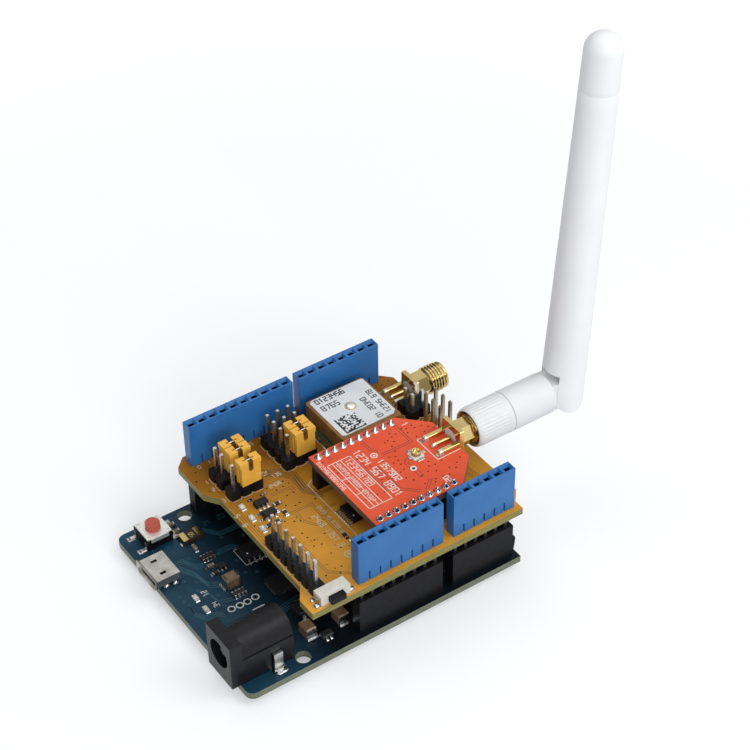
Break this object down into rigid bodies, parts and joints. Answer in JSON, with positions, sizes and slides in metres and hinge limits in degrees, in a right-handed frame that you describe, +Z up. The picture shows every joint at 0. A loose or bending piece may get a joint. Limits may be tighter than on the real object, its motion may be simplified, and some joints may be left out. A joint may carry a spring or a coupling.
{
  "type": "lora module",
  "caption": "Stack of circuit boards with a long-range radio, a satellite receiver, header sockets, switches and a folding stick antenna on a coaxial socket.",
  "frame": {"origin": "centre of the bounding box, on the plane that the pin tails stand on", "axes": "+Z up from the boards, +X from the power jack's edge towards the antenna, +Y from the jack's side towards the satellite receiver's side"},
  "size_m": [0.1018, 0.054, 0.1084],
  "materials": {
    "base_mask": "satin petrol solder mask over glass-epoxy board",
    "shield_mask": "glossy amber solder mask over glass-epoxy board",
    "radio_mask": "satin coral red solder mask",
    "black_plastic": "moulded black nylon",
    "blue_plastic": "moulded blue nylon",
    "amber_plastic": "translucent amber moulding",
    "red_plastic": "red plunger",
    "white_plastic": "satin white moulding",
    "ivory_plastic": "white switch body",
    "ptfe": "white insulator",
    "gold": "gold plated brass",
    "tin": "tin plated metal",
    "pin_gold": "plated square pin",
    "chip_body": "moulded package",
    "cap_ceramic": "brown ceramic chip",
    "resistor": "dark ceramic chip",
    "led_lens": "clear yellowish lens",
    "patch_ceramic": "tan ceramic",
    "patch_metal": "silvered face",
    "module_pcb": "dark green board",
    "can": "tinned can",
    "fuse_body": "dark green fuse"
  },
  "bodies": {
    "board_stack": {"base_board": "base_mask", "base_capacitors": "cap_ceramic", "base_fuse": "fuse_body", "base_ics": "chip_body", "base_isp_header": "black_plastic", "base_isp_pins": "pin_gold", "base_mcu": "chip_body", "base_regulator": "chip_body", "base_resistors": "resistor", "base_socket_10": "black_plastic", "base_socket_8": "black_plastic", "base_socket_6": "black_plastic", "base_socket_contacts": "tin", "dc_jack_housing": "black_plastic", "dc_jack_pin": "tin", "dc_jack_tabs": "tin", "usb_shell": "tin", "usb_tongue": "black_plastic", "reset_switch_body": "black_plastic", "reset_switch_plate": "tin", "reset_switch_legs": "tin", "shield_board": "shield_mask", "stack_header_10": "blue_plastic", "stack_header_8": "blue_plastic", "stack_header_6": "blue_plastic", "stack_header_pins": "tin", "jumper_headers": "black_plastic", "serial_header": "black_plastic", "header_pins": "pin_gold", "jumper_caps": "amber_plastic", "jumper_clips": "tin", "isp_stack_socket": "black_plastic", "isp_stack_pins": "pin_gold", "shield_switch_body": "ivory_plastic", "shield_switch_legs": "tin", "shield_ics": "chip_body", "shield_resistors": "resistor", "leds": "led_lens", "gps_substrate": "module_pcb", "gps_patch": "patch_ceramic", "gps_cover": "patch_metal", "sma_bodies": "gold", "sma_insulators": "ptfe", "sma_contacts": "gold", "radio_board": "radio_mask", "radio_sockets": "black_plastic", "radio_pin_strips": "black_plastic", "radio_pins": "pin_gold", "rf_module_board": "module_pcb", "rf_module_can": "can", "coax_socket": "gold", "antenna_nut": "white_plastic"},
    "reset_plunger": {"reset_button": "red_plastic"},
    "side_plunger": {"shield_switch_button": "black_plastic"},
    "antenna_arm": {"antenna_elbow": "white_plastic"},
    "antenna_mast": {"antenna_mast": "white_plastic", "antenna_hinge_pin": "white_plastic"}
  },
  "joints": [
    {"name": "reset_press", "type": "slide", "parent": "board_stack", "child": "reset_plunger", "axis": [0, 0, -1], "range_m": [0, 0.00025], "stiffness_N_per_m": 1200},
    {"name": "side_press", "type": "slide", "parent": "board_stack", "child": "side_plunger", "axis": [0, 1, 0], "range_m": [0, 0.00025], "stiffness_N_per_m": 1200},
    {"name": "antenna_swivel", "type": "hinge", "parent": "board_stack", "child": "antenna_arm", "pos_m": [0.02594, -0.00784, 0.02515], "axis": [1, 0, 0], "continuous": true},
    {"name": "antenna_fold", "type": "hinge", "parent": "antenna_arm", "child": "antenna_mast", "pos_m": [0.04165, -0.00784, 0.02515], "axis": [0, 1, 0], "range_deg": [-3.75, 86.25]}
  ]
}
